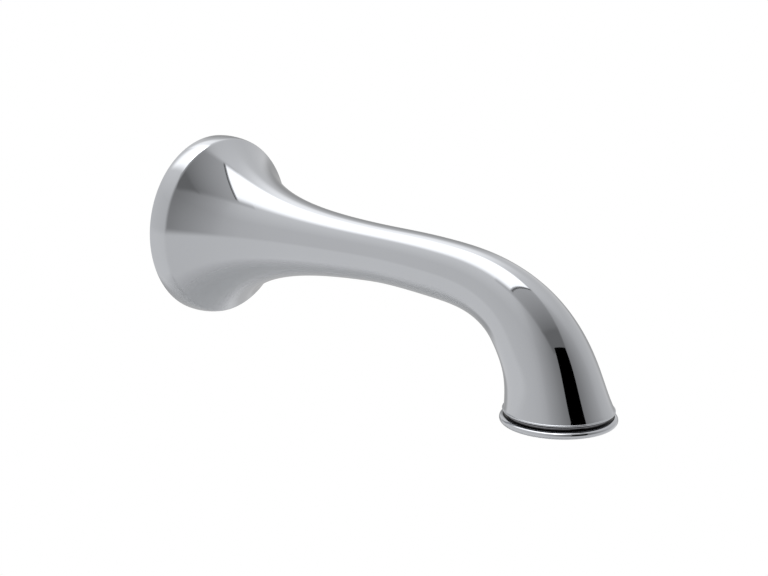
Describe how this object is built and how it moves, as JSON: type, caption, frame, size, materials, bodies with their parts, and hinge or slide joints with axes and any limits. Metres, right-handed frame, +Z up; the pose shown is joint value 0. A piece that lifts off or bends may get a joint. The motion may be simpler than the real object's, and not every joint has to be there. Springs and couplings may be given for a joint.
{
  "type": "wall-mounted bath spout",
  "caption": "Cast bath spout: round wall flange, trumpet-shaped root, straight neck and a downward bend that swells to a level, lipped outlet.",
  "frame": {"origin": "centre of the flange's face on the wall", "axes": "+Y into the wall, so the spout runs out along -Y; +Z up; +X to the right as seen from the room"},
  "size_m": [0.07, 0.184, 0.0828],
  "materials": {
    "chrome_plate": "polished chrome plate on cast brass"
  },
  "bodies": {
    "root": {"spout_body": "chrome_plate"}
  },
  "joints": []
}
